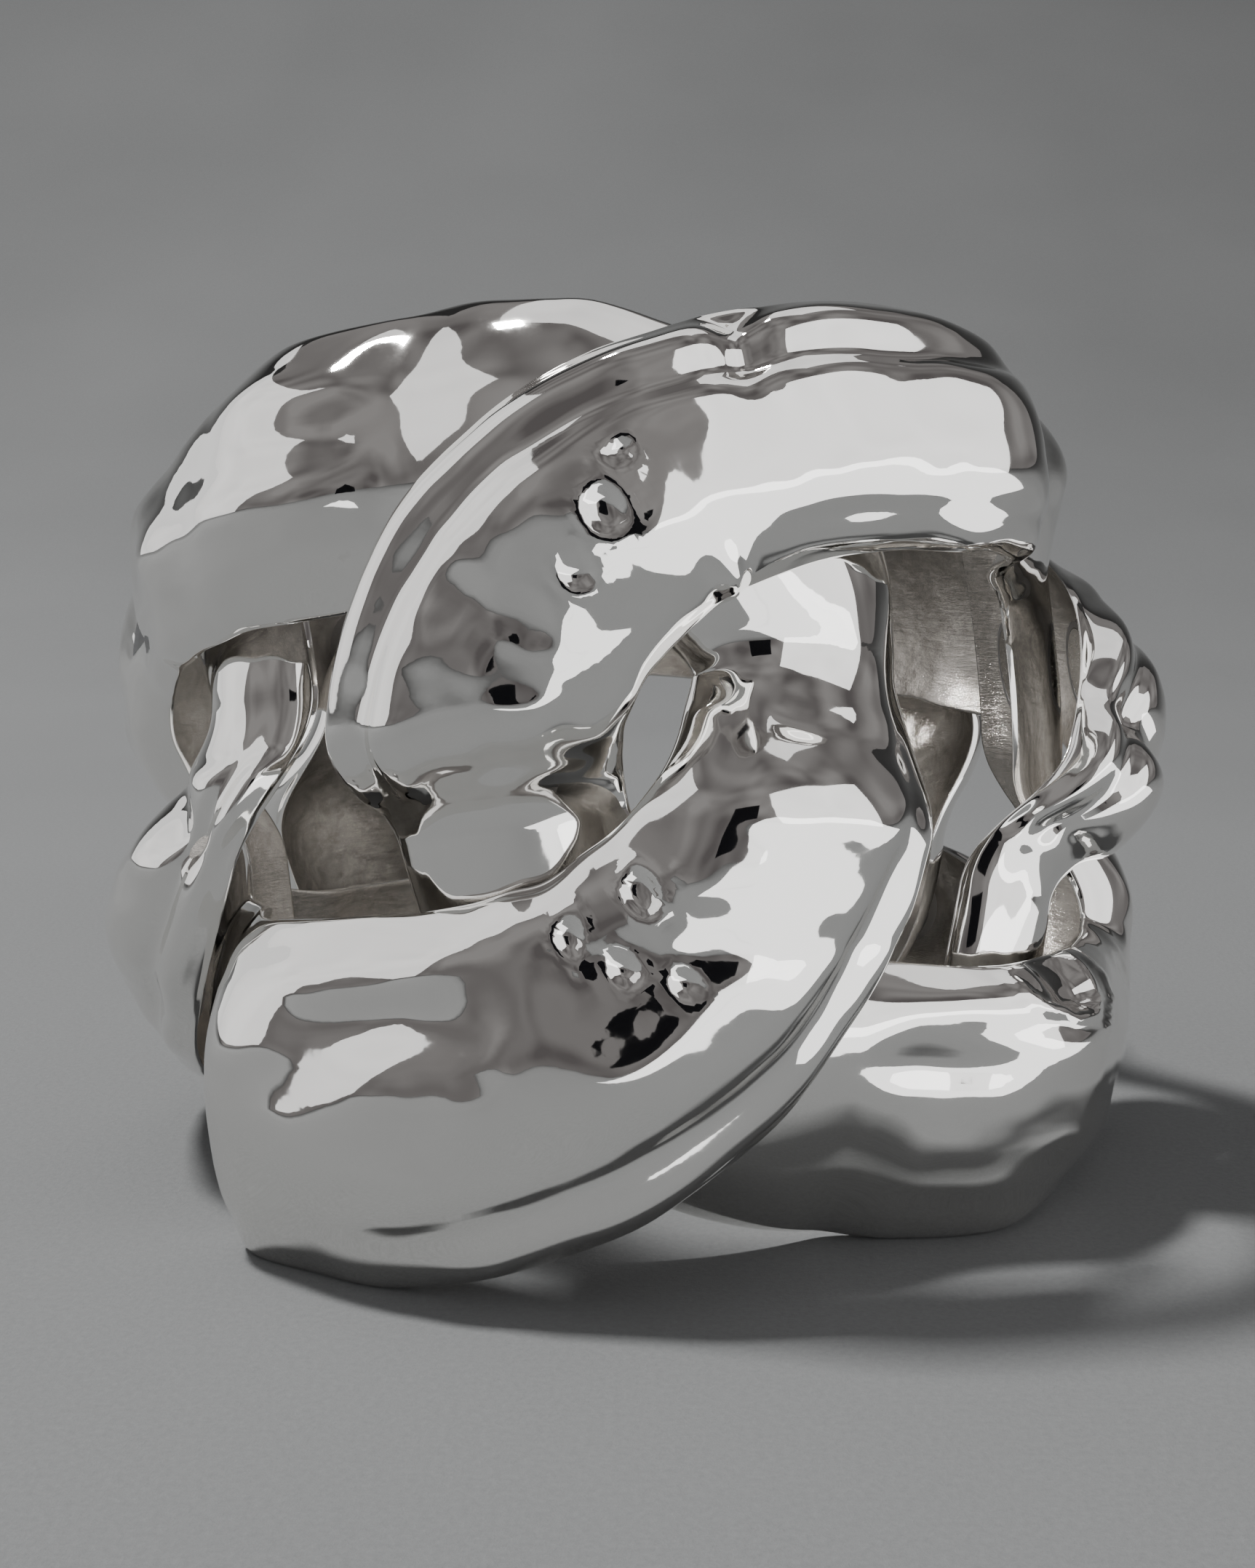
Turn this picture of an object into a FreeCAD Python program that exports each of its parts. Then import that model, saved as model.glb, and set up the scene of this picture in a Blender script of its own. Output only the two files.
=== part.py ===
"""Free-standing band of five large interlocked chain links, cast hollow-backed and held in shape by magnets.

Frame: millimetres, +Z up, Z = 0 on the desk, origin under the middle of the band's box.
The band is a ring about a vertical axis. A place on it has an angle in degrees, counted from the front (-Y)
towards +X, and a height. Each link is a closed loop of crescent section that follows a rounded loop on the
ring. Where neighbours cross, the right-hand link lies outside at the upper arm and inside at the lower arm.
"""
import FreeCAD, Part
import Sketcher
import math
import os
from FreeCAD import Placement, Rotation, Vector

# Links in order round the band, each one to the right of the one before, seen from outside.
LINKS = ["side_left", "front_left", "front_right", "side_right", "back"]

# Shared dimensions: alias, value, meaning. Lengths are in mm.
SHARED = [
    ("band_radius", 34.6, "crown radius half way between the inner and the outer layer"),
    ("layer_step", 2.6, "how far an arm steps out or in from the band radius at a crossing"),
    ("layer_turn_height", 5.5, "height over which a link's end moves between layers"),
    ("lean_in_top", 4.5, "how far the band leans in at its top edge"),
    ("lean_in_bottom", 2.2, "how far the band leans in at its bottom edge"),
    ("lean_in_power", 2.4, "how late the lean starts"),
    ("middle_rear", 24.5, "height of the crossings' middle at the rear"),
    ("middle_rise", 11.0, "how much higher that middle is at the front"),
    ("middle_rise_power", 4.5, "how quickly it falls away from the front"),
    ("right_drop", 3.0, "how much lower the crossing at the right of the front pair is"),
    ("right_drop_deg", 80.0, "angle of that crossing"),
    ("left_lift", 1.0, "how much higher the crossing at the left of the front pair is"),
    ("left_lift_deg", -72.0, "angle of that crossing"),
    ("shift_spread_deg", 22.0, "how far round the ring that drop and lift reach"),
    ("shoulder_height", 8.0, "height over which an inner arm's top comes out to the band radius"),
    ("arch_depth", 3.0, "depth of the hollow back from rim to skin"),
    ("arch_power", 2.6, "how flat the crown is"),
    ("skin_half", 0.95, "half of the casting's skin thickness"),
    ("shift_y", 0.71, "ring axis from the box's middle"),
    ("magnet_radius", 2.95, "disc magnet"),
    ("magnet_height", 1.5, "disc magnet"),
    ("cup_radius", 3.5, "keeper cup, outside"),
    ("cup_bore", 3.0, "keeper cup, inside"),
    ("cup_depth", 2.0, "keeper cup, overall"),
    ("cup_floor", 0.5, "keeper cup, floor thickness"),
    ("seat_radius", 3.55, "seat milled for the cup in the hollow back"),
    ("seat_skin", 1.25, "skin left between the seat and the crown"),
    ("seat_cutter_length", 6.0, "length of the milling cutter"),
    ("desk_cut", 90.0, "side of the block that grinds the feet flat"),
]

# Dimensions of each link: meaning of the columns, then one row a link.
COLUMNS = [
    ("centre_deg", "angle of the link's middle"),
    ("half_deg", "half of the loop's length along the ring"),
    ("middle", "height of the loop's middle"),
    ("half_height", "half of the loop's height"),
    ("end_rise", "how much higher the right end is than the middle"),
    ("lean", "degrees that the loop leans to the right for each mm of height"),
    ("lean_swing", "more lean at the right end and less at the left end"),
    ("square", "squareness of the loop"),
    ("square_swing", "extra squareness at one corner"),
    ("square_at_deg", "which corner, as an angle round the loop"),
    ("wide_right", "half width of the right end"),
    ("wide_top", "half width of the upper arm"),
    ("wide_left", "half width of the left end"),
    ("wide_bottom", "half width of the lower arm"),
    ("turn_deg", "angle over which an arm moves between layers"),
    ("turn_upper_deg", "where the upper arm does that, to the right of the middle"),
    ("turn_lower_deg", "where the lower arm does that, to the right of the middle"),
    ("shoulder", "height above the crossings where an inner arm's top starts to come out"),
]
ROWS = {
    "front_right": (
        38.0, 54.0, 30.3, 20.9, -3.5, 0.1, 0.0, 0.05, 0.04, -20.0, 7.0, 6.8, 9.8, 9.2, 12.0, 16.0, 0.0, 19.0
    ),
    "front_left": (
        -35.5, 56.5, 30.0, 19.7, 5.5, 0.25, 0.0, 0.05, 0.05, 215.0, 9.2, 8.6, 7.4, 11.4, 12.0, 0.0, -16.0, 40.0
    ),
    "side_right": (
        108.0, 48.0, 22.7, 15.0, 3.0, 0.45, -0.3, 0.04, 0.0, 0.0, 7.0, 7.2, 6.2, 7.6, 12.0, 0.0, 0.0, 40.0
    ),
    "side_left": (
        -110.0, 50.0, 23.3, 15.5, 3.5, 0.5, 0.5, 0.04, 0.0, 0.0, 7.0, 7.2, 7.0, 7.6, 12.0, 0.0, 0.0, 40.0
    ),
    "back": (
        180.0, 51.0, 22.7, 15.5, 1.0, 0.1, 0.0, 0.04, 0.0, 0.0, 7.2, 7.0, 7.2, 7.4, 14.0, 0.0, 0.0, 40.0
    ),
}

POLES_ROUND_LOOP = 56
POLES_ROUND_SECTION = 24
EDGE_SHARPNESS = 0.9
SKIN_SHARPNESS = 0.6
STEP = 1e-4
NEAR = 0.02
SEARCH_STEPS = range(-4, 5)
SEARCH_SHRINK = 0.6


def make_sheet(doc):
    """Write the dimensions into a spreadsheet whose cells the other objects read."""
    sheet = doc.addObject("Spreadsheet::Sheet", "dims")
    rows = list(SHARED)
    for link in LINKS:
        for (column, meaning), value in zip(COLUMNS, ROWS[link]):
            rows.append((f"{link}_{column}", value, meaning))
    for number, (alias, value, meaning) in enumerate(rows, start=1):
        sheet.set(f"A{number}", alias)
        sheet.set(f"B{number}", str(value))
        sheet.setAlias(f"B{number}", alias)
        sheet.set(f"C{number}", meaning)
    doc.recompute()
    return sheet


def ramp(x):
    """Go smoothly from -1 to 1 as x goes from -1 to 1, and stay there."""
    return math.sin(math.pi / 2 * max(-1.0, min(1.0, x)))


def smooth_step(x):
    """Go smoothly from 0 to 1 as x goes from 0 to 1, and stay there."""
    share = max(0.0, min(1.0, x))
    return share * share * (3 - 2 * share)


def signed_power(x, power):
    """Raise the size of x to a power and keep its sign."""
    return math.copysign(abs(x) ** power, x)


class Link:
    """The surface of one link, worked out from the sheet."""

    def __init__(self, sheet, name):
        self.name = name
        for alias, _, _ in SHARED:
            setattr(self, alias, sheet.get(alias))
        for column, _ in COLUMNS:
            setattr(self, column, sheet.get(f"{name}_{column}"))
        self.mm_per_deg = math.radians(self.band_radius + self.layer_step)

    def centreline(self, turn):
        """Angle and height of the loop's centreline, turn 0 at the right end and a quarter turn at the top."""
        corner = self.square + self.square_swing * math.cos(turn - math.radians(self.square_at_deg))
        across = (math.cos(turn) - corner * math.cos(3 * turn)) / (1 - corner)
        up = self.half_height * (math.sin(turn) + corner * math.sin(3 * turn)) / (1 - corner)
        lean = self.lean + self.lean_swing * math.cos(turn)
        angle = self.centre_deg + self.half_deg * across + lean * up
        return angle, self.middle + up + self.end_rise * math.cos(turn)

    def half_width(self, turn):
        """Half of the strip's width at a turn."""
        end = self.wide_right if math.cos(turn) > 0 else self.wide_left
        arm = self.wide_top if math.sin(turn) > 0 else self.wide_bottom
        return end * math.cos(turn) ** 2 + arm * math.sin(turn) ** 2

    def middle_height(self, angle):
        """Height of the band's middle line, which the band leans in from."""
        front = (1 + math.cos(math.radians(angle))) / 2
        return self.middle_rear + self.middle_rise * front ** self.middle_rise_power

    def spread(self, angle, at_deg):
        """1 at an angle of the ring, falling away on both sides."""
        return math.exp(-((angle - at_deg) / self.shift_spread_deg) ** 2)

    def layer(self, angle, height):
        """1 in the outer layer, -1 in the inner layer, and 0 half way between them."""
        above = height - self.middle_height(angle)
        above += self.right_drop * self.spread(angle, self.right_drop_deg)
        above -= self.left_lift * self.spread(angle, self.left_lift_deg)
        from_end = min(abs(above) / self.layer_turn_height, 1.0)
        shift = self.turn_upper_deg if above > 0 else self.turn_lower_deg
        right = ramp((angle - self.centre_deg - shift * from_end) / self.turn_deg)
        layer = -right * ramp(above / self.layer_turn_height)
        if layer < 0:
            layer *= 1 - smooth_step((above - self.shoulder) / self.shoulder_height)
        return layer

    def crown_radius(self, angle, height):
        """Radius of the crown at a place: leaning in at the edges, stepping between the layers at crossings."""
        middle = self.middle_height(angle)
        lean_in = self.lean_in_top if height > middle else self.lean_in_bottom
        edge = abs(height - middle) / (middle - 2 * self.skin_half)
        step = self.layer_step * self.layer(angle, height)
        return self.band_radius - lean_in * edge ** self.lean_in_power + step

    def point(self, turn, offset, below):
        """A point at a turn, offset outwards from the centreline by a share of the half width, below the crown."""
        angle, height = self.centreline(turn)
        before = self.centreline(turn - STEP)
        after = self.centreline(turn + STEP)
        along = (after[0] - before[0]) * self.mm_per_deg
        rise = after[1] - before[1]
        length = math.hypot(along, rise)
        sideways = offset * self.half_width(turn)
        angle += sideways * rise / length / self.mm_per_deg
        height -= sideways * along / length
        radius = self.crown_radius(angle, height) - below
        turned = math.radians(angle)
        return Vector(radius * math.sin(turned), self.shift_y - radius * math.cos(turned), height)

    def section_point(self, turn, round_section):
        """A point of the crescent section: the crown at a quarter turn, the hollow back at three quarters."""
        offset = signed_power(math.cos(round_section), EDGE_SHARPNESS)
        arch = self.arch_depth * abs(offset) ** self.arch_power
        skin = self.skin_half * (1 - signed_power(math.sin(round_section), SKIN_SHARPNESS))
        return self.point(turn, offset, arch + skin)

    def crown_frame(self, turn):
        """The crown's point at a turn, and the outward normal there."""
        along = self.point(turn + NEAR, 0, 0) - self.point(turn - NEAR, 0, 0)
        across = self.point(turn, NEAR, 0) - self.point(turn, -NEAR, 0)
        crown = self.point(turn, 0, 0)
        normal = along.cross(across).normalize()
        if normal.dot(Vector(crown.x, crown.y - self.shift_y, 0)) < 0:
            normal = -normal
        return crown, normal

    def solid(self):
        """The closed casting: one smooth surface that is periodic both ways."""
        poles = []
        for i in range(POLES_ROUND_LOOP):
            turn = 2 * math.pi * i / POLES_ROUND_LOOP
            steps = range(POLES_ROUND_SECTION)
            poles.append([self.section_point(turn, 2 * math.pi * j / POLES_ROUND_SECTION) for j in steps])
        surface = Part.BSplineSurface()
        loop_knots = list(range(POLES_ROUND_LOOP + 1))
        section_knots = list(range(POLES_ROUND_SECTION + 1))
        surface.buildFromPolesMultsKnots(
            poles, [1] * len(loop_knots), [1] * len(section_knots), loop_knots, section_knots, True, True, 3, 3
        )
        solid = Part.Solid(Part.Shell([surface.toShape()]))
        if solid.Volume < 0:
            solid.reverse()
        return solid


def crossing_turns(left, right, upper):
    """Turns at which the centrelines of two neighbours cross, at the upper or at the lower arms."""
    reach = math.pi / 4
    left_turn = reach if upper else -reach
    right_turn = math.pi - left_turn
    while reach > STEP:
        best = None
        for i in SEARCH_STEPS:
            for j in SEARCH_STEPS:
                a = left_turn + reach * i / len(SEARCH_STEPS)
                b = right_turn + reach * j / len(SEARCH_STEPS)
                left_angle, left_height = left.centreline(a)
                right_angle, right_height = right.centreline(b)
                turned = (right_angle - left_angle + 180) % 360 - 180
                miss = math.hypot(turned * left.mm_per_deg, right_height - left_height)
                if best is None or miss < best[0]:
                    best = (miss, a, b)
        left_turn, right_turn = best[1], best[2]
        reach *= SEARCH_SHRINK
    return left_turn, right_turn


def magnet_places(links):
    """Each link's four magnet places: link name, place name, and the turn at which the magnet sits."""
    places = []
    for number, left in enumerate(links):
        right = links[(number + 1) % len(links)]
        for level in ("upper", "lower"):
            left_turn, right_turn = crossing_turns(left, right, level == "upper")
            places.append((left, f"right_{level}", left_turn))
            places.append((right, f"left_{level}", right_turn))
    return places


def placed_below(link, turn, below):
    """Placement whose Z axis points outwards through the crown, with its origin below the crown."""
    crown, normal = link.crown_frame(turn)
    return Placement(crown - normal * below, Rotation(Vector(0, 0, 1), normal))


def make_magnet(doc, name, link, turn):
    """A disc magnet, its outer face on the cup's floor."""
    magnet = doc.addObject("Part::Cylinder", name)
    magnet.Label = name
    magnet.setExpression("Radius", "dims.magnet_radius")
    magnet.setExpression("Height", "dims.magnet_height")
    below = link.seat_skin + link.cup_floor + link.magnet_height
    magnet.Placement = placed_below(link, turn, below)
    return magnet


def cup_profile(sketch, link):
    """Draw half of the cup's section: floor at the top, bore open downwards, bound to the sheet."""
    outside, bore, depth, floor = link.cup_radius, link.cup_bore, link.cup_depth, link.cup_floor
    corners = [(0, 0), (outside, 0), (outside, -depth), (bore, -depth), (bore, -floor), (0, -floor)]
    for start, end in zip(corners, corners[1:] + corners[:1]):
        sketch.addGeometry(Part.LineSegment(Vector(*start, 0), Vector(*end, 0)), False)
    for line in range(len(corners)):
        following = (line + 1) % len(corners)
        sketch.addConstraint(Sketcher.Constraint("Coincident", line, 2, following, 1))
        sketch.addConstraint(Sketcher.Constraint("Vertical" if line % 2 else "Horizontal", line))
    sketch.addConstraint(Sketcher.Constraint("Coincident", 0, 1, -1, 1))
    sizes = [
        ("DistanceX", 0, 1, 0, 2, "cup_radius"),
        ("DistanceY", 1, 2, 1, 1, "cup_depth"),
        ("DistanceX", 5, 2, 3, 1, "cup_bore"),
        ("DistanceY", 4, 2, 0, 1, "cup_floor"),
    ]
    for kind, first, first_end, second, second_end, alias in sizes:
        start = getattr(link, alias)
        number = sketch.addConstraint(Sketcher.Constraint(kind, first, first_end, second, second_end, start))
        sketch.renameConstraint(number, alias)
        sketch.setExpression(f"Constraints.{alias}", f"dims.{alias}")


def make_cup(doc, name, link, turn):
    """A drawn steel cup round the magnet, its floor on the seat."""
    body = doc.addObject("PartDesign::Body", name)
    body.Label = name
    sketch = body.newObject("Sketcher::SketchObject", f"{name}_profile")
    plane = next(item for item in body.Origin.OriginFeatures if item.Role == "XZ_Plane")
    sketch.AttachmentSupport = [(plane, "")]
    sketch.MapMode = "FlatFace"
    cup_profile(sketch, link)
    turned = body.newObject("PartDesign::Revolution", f"{name}_turned")
    turned.Profile = sketch
    turned.ReferenceAxis = (sketch, ["V_Axis"])
    turned.Angle = 360.0
    body.Placement = placed_below(link, turn, link.seat_skin)
    return body


def make_link(doc, link, turns):
    """A link's casting, with its magnet seats milled and its foot ground flat."""
    blank = doc.addObject("Part::Feature", f"{link.name}_blank")
    blank.Shape = link.solid()
    cutters = []
    for number, turn in enumerate(turns):
        cutter = doc.addObject("Part::Cylinder", f"{link.name}_seat_{number}")
        cutter.setExpression("Radius", "dims.seat_radius")
        cutter.setExpression("Height", "dims.seat_cutter_length")
        cutter.Placement = placed_below(link, turn, link.seat_skin + link.seat_cutter_length)
        cutters.append(cutter)
    grinder = doc.addObject("Part::Box", f"{link.name}_grinder")
    for side in ("Length", "Width", "Height"):
        grinder.setExpression(side, "dims.desk_cut")
    grinder.Placement.Base = Vector(-link.desk_cut / 2, -link.desk_cut / 2, -link.desk_cut)
    tools = doc.addObject("Part::MultiFuse", f"{link.name}_tools")
    tools.Shapes = cutters + [grinder]
    casting = doc.addObject("Part::Cut", f"{link.name}_link")
    casting.Label = f"{link.name}_link"
    casting.Base = blank
    casting.Tool = tools
    return casting


def check(doc, parts):
    """Stop if any object failed or any piece isn't one valid solid."""
    for item in doc.Objects:
        if {"Invalid", "Error"} & set(item.State):
            raise RuntimeError(f"{item.Name} failed: {item.State}")
    for part in parts:
        shape = part.Shape
        if shape.isNull() or not shape.isValid() or len(shape.Solids) != 1:
            raise RuntimeError(f"{part.Label} isn't one valid solid")
        print(f"{part.Label}: {shape.Volume:.1f} mm3")


def main():
    doc = FreeCAD.newDocument("linked_band")
    sheet = make_sheet(doc)
    links = [Link(sheet, name) for name in LINKS]
    places = magnet_places(links)
    parts = []
    for link in links:
        parts.append(make_link(doc, link, [turn for owner, _, turn in places if owner is link]))
    for link, place, turn in places:
        parts.append(make_magnet(doc, f"{link.name}_{place}_magnet", link, turn))
        parts.append(make_cup(doc, f"{link.name}_{place}_cup", link, turn))
    doc.recompute()
    check(doc, parts)
    os.makedirs("parts", exist_ok=True)
    for part in parts:
        part.Shape.exportStep(f"parts/{part.Label}.step")


main()
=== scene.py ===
"""Molten chain band: the looks of a free-standing band of five interlocked, mirror-polished cast links.

Everything is in metres in the CAD frame: +Z up, the desk at Z = 0, the front crossing towards -Y.
Link shapes are worked out in millimetres, as their maker would, and turned into metres last.
"""
import math
from collections import namedtuple
from itertools import product
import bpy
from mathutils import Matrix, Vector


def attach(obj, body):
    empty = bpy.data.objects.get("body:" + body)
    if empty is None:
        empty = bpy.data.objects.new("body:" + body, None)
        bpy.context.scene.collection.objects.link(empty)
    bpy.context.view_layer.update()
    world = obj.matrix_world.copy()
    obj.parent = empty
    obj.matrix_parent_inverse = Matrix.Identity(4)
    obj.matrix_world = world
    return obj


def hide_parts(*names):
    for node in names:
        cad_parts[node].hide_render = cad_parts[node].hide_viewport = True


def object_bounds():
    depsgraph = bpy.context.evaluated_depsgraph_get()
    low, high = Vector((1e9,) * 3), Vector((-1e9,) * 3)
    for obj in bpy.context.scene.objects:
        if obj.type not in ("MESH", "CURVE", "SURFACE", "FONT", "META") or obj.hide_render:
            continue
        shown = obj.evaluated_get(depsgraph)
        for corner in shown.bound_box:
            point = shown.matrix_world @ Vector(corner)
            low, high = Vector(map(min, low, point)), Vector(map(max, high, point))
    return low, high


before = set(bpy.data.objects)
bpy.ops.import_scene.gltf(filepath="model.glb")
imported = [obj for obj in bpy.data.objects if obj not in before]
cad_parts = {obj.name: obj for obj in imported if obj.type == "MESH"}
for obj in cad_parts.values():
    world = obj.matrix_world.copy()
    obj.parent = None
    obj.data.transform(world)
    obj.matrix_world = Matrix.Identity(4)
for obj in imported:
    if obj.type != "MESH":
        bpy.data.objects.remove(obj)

from types import SimpleNamespace

import bpy
import numpy as np
from bpy.props import FloatProperty, FloatVectorProperty, IntProperty, PointerProperty
from mathutils import Vector

bl_info = {
    "name": "Molten Chain Band",
    "version": (1, 0, 0),
    "blender": (4, 5, 0),
    "location": "View3D > Sidebar > Molten Band",
    "description": "Cast, polished chain links with a molten surface, closed into a free-standing band",
    "category": "Add Mesh",
}

MM = 0.001
BLACK = (0.0, 0.0, 0.0, 1.0)
WHITE = (1.0, 1.0, 1.0, 1.0)
CAD_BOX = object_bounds()
LINKS = ["side_left", "front_left", "front_right", "side_right", "back"]
PLACES = ["left_upper", "left_lower", "right_upper", "right_lower"]

Loop = namedtuple(
    "Loop",
    "centre half_length middle half_height end_rise lean lean_swing square square_swing square_at "
    "wide_right wide_top wide_left wide_bottom turn_deg turn_upper turn_lower shoulder",
)
# Each link's loop, seen flat. centre and half_length are degrees round the band; middle, half_height and the
# rise of the right end are mm. lean slants the loop and square fills its corners, most at square_at. The four
# half widths are of the right end, the top, the left end and the bottom, mm. turn_deg is the angle over which
# an arm changes layers, turn_upper and turn_lower say where it does, and shoulder is how high above the
# crossing it still lies inside, mm.
LOOPS = {
    "front_right": Loop(
        38.0, 54.0, 30.3, 20.9, -3.5, 0.1, 0.0, 0.05, 0.04, -20.0,
        7.0, 6.8, 9.8, 9.2, 12.0, 16.0, 0.0, 19.0,
    ),
    "front_left": Loop(
        -35.5, 56.5, 30.0, 19.7, 5.5, 0.25, 0.0, 0.05, 0.05, 215.0,
        9.2, 8.6, 7.4, 11.4, 12.0, 0.0, -16.0, 40.0,
    ),
    "side_right": Loop(
        108.0, 48.0, 22.7, 15.0, 3.0, 0.45, -0.3, 0.04, 0.0, 0.0,
        7.0, 7.2, 6.2, 7.6, 12.0, 0.0, 0.0, 40.0,
    ),
    "side_left": Loop(
        -110.0, 50.0, 23.3, 15.5, 3.5, 0.5, 0.5, 0.04, 0.0, 0.0,
        7.0, 7.2, 7.0, 7.6, 12.0, 0.0, 0.0, 40.0,
    ),
    "back": Loop(
        180.0, 51.0, 22.7, 15.5, 1.0, 0.1, 0.0, 0.04, 0.0, 0.0,
        7.2, 7.0, 7.2, 7.4, 14.0, 0.0, 0.0, 40.0,
    ),
}
LINK_PITCH = 72.0
# How near a crossing, in degrees, a neighbour still covers a link, and where the link is bare again.
COVERED_DEG = 27.0
UNCOVERED_DEG = 35.0
RING_SHIFT_Y = 0.71
LAYER_STEP = 2.6
LAYER_TURN_HEIGHT = 5.5
LEAN_IN_TOP = 4.5
LEAN_IN_BOTTOM = 2.2
LEAN_IN_POWER = 2.4
MIDDLE_REAR = 24.5
MIDDLE_RISE = 11.0
MIDDLE_RISE_POWER = 4.5
# How much lower or higher the crossings lie beside the front pair: angle of the ring, mm down.
CROSSING_SHIFTS = [(80.0, 3.0), (-72.0, -1.0)]
SHIFT_SPREAD_DEG = 22.0
SHOULDER_HEIGHT = 8.0

# Listed bumps and hollows: turn in degrees, offset across, size along and across in mm, height in mm.
SHAPED = {
    "side_left": [
        (24, 0.1, 5.0, 5.5, 1.5),
        (84, -0.5, 13.0, 1.4, 0.5),
        (96, 0.05, 11.0, 1.5, -0.6),
        (80, 0.5, 12.0, 1.5, 0.5),
        (62, -0.1, 4.0, 3.5, 0.5),
        (3, 0.3, 1.5, 9.0, -1.7),
        (-20, 0.1, 5.0, 4.0, 1.1),
        (-34, 0.7, 3.5, 3.0, -0.7),
        (40, 0.2, 1.6, 8.0, -1.2),
    ],
    "side_right": [
        (133, 0.5, 3.5, 4.0, 1.3),
        (146, 0.2, 1.5, 8.0, -1.4),
        (157, 0.1, 4.0, 4.5, 1.1),
        (171, 0.3, 1.4, 8.0, -1.5),
        (184, 0.0, 4.0, 4.0, 1.0),
    ],
    "front_right": [
        (119, 0.9, 1.5, 2.6, -1.7),
        (128, 0.75, 4.5, 2.2, 0.7),
        (110, 0.75, 5.0, 2.2, 0.6),
        (127, -0.85, 1.3, 1.6, 1.3),
        (93, -0.9, 3.0, 1.2, 0.9),
        (262, -0.35, 7.0, 1.5, -0.9),
        (270, -0.75, 8.0, 1.6, 0.6),
        (285, -0.45, 4.5, 4.5, 0.6),
        (150, 0.1, 6.0, 7.0, -0.7),
        (172, -0.3, 7.0, 5.0, -0.6),
        (196, -0.6, 5.0, 3.0, 0.8),
    ],
    "front_left": [
        (74, 0.8, 6.0, 2.5, 0.8),
        (80, 0.25, 9.0, 1.6, -0.9),
        (92, -0.2, 8.0, 2.0, 0.7),
        (104, 0.2, 5.0, 3.0, -0.6),
        (300, -0.75, 9.0, 2.0, 0.6),
        (318, -0.3, 6.0, 4.0, -0.6),
        (262, 0.2, 9.0, 7.0, 0.5),
        (4, -0.2, 4.0, 5.0, -0.6),
        (114, -0.3, 3.0, 2.5, 0.7),
        (126, 0.25, 4.0, 2.5, 0.8),
        (138, -0.35, 3.0, 3.5, -0.7),
        (150, 0.3, 3.0, 3.0, 0.6),
        (163, -0.2, 2.5, 3.0, -0.5),
        (88, -0.55, 9.0, 1.3, 0.4),
        (102, 0.6, 8.0, 1.4, 0.5),
        (270, -0.5, 3.0, 2.5, 0.4),
        (277, -0.72, 4.0, 1.5, 0.6),
        (284, -0.5, 3.5, 1.8, -0.6),
        (291, -0.75, 3.0, 1.5, 0.5),
    ],
}
# Round pits with a raised rim: turn in degrees, offset across, radius in mm, depth in mm.
PITS = {
    "front_right": [
        (284, -0.88, 2.4, 1.3),
        (139, 0.05, 1.3, 0.45),
        (134, 0.3, 0.9, 0.35),
        (146, -0.25, 1.1, 0.4),
    ],
    "front_left": [
        (313, -0.4, 1.0, 0.4),
        (318, -0.1, 0.9, 0.35),
        (309, -0.7, 1.1, 0.4),
        (322, -0.65, 1.2, 0.45),
    ],
}
# Where a link's outer edge is rolled over into a thick bead: turn in degrees, half of its span.
ROLLED = {
    "front_right": (160.0, 65.0),
    "front_left": (315.0, 25.0),
    "side_right": (160.0, 40.0),
    "side_left": (0.0, 40.0),
}
# Where a link's outer layer is tipped to face more upwards: slope, and the height that stays in place, mm.
TIPPED = {"front_left": (0.17, 22.0)}
# How flat each link's crown is.
FLATNESS = {"front_right": 3.0, "front_left": 2.1, "side_right": 2.2, "side_left": 2.2, "back": 2.4}
# How much lower a link's left end dives under its neighbour than the casting's core does, and over what
# height, mm.
DIVES = {"front_right": (2.5, 4.0)}
# The broad funnel round the hole at the front crossing: height of its middle and reach, mm.
FUNNEL_HEIGHT = 36.0
FUNNEL_REACH = 11.0
# Powers that round the section's edges and its skin, as in the casting's core.
EDGE_POWER = 0.9
SKIN_POWER = 0.6
# The relief: how far apart its swells, lumps, ripples, ridges and beaded stretches are, mm, and its gain.
SWELL_PITCH = 13.0
LUMP_PITCH = 6.2
RIPPLE_PITCH = 2.4
RIDGE_PITCH = 15.0
BEAD_PITCH = 17.0
PIT_PITCH = 2.0
COARSE_GRAIN_PITCH = 1.5
FINE_GRAIN_PITCH = 0.7
NOISE_GAIN = 1.6
# The rolled bead and the groove inside it, in shares of the half width; the groove's depth, in bead heights.
BEAD_AT = 0.86
GROOVE_AT = 0.64
BEAD_WIDTH = 0.1
GROOVE_DEPTH = 0.8

# Where the soft lights hang: place, the point that each faces, and its two sides, m.
LIGHT_AIM = (0.0, 0.0, 0.03)
KEY_PLACE = (-0.42, 0.04, 1.09)
KEY_SIZE = (0.13, 0.13)
KEY_COLOUR = (1.0, 0.99, 0.97)
SOFTBOXES = {
    "right_softbox": ((0.30, -0.27, 0.16), (0.0, 0.0, 0.10), (0.52, 0.32)),
    "left_softbox": ((-0.38, 0.02, 0.22), LIGHT_AIM, (0.62, 0.44)),
    "top_softbox": ((0.05, 0.10, 0.60), LIGHT_AIM, (0.50, 0.40)),
    "low_card": ((0.115, -0.12, 0.022), (0.08, -0.08, 0.21), (0.24, 0.17)),
}
BOARD_PLACE = (0.0, -0.155, 0.055)
BOARD_SIZE = 0.04
# The camera, in half widths of the band: to the right, in front and up; and how far it tilts down.
CAMERA_RIGHT = -0.005
CAMERA_FRONT = 3.9
CAMERA_UP = 1.33
CAMERA_DOWN_DEG = 9.0


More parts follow.
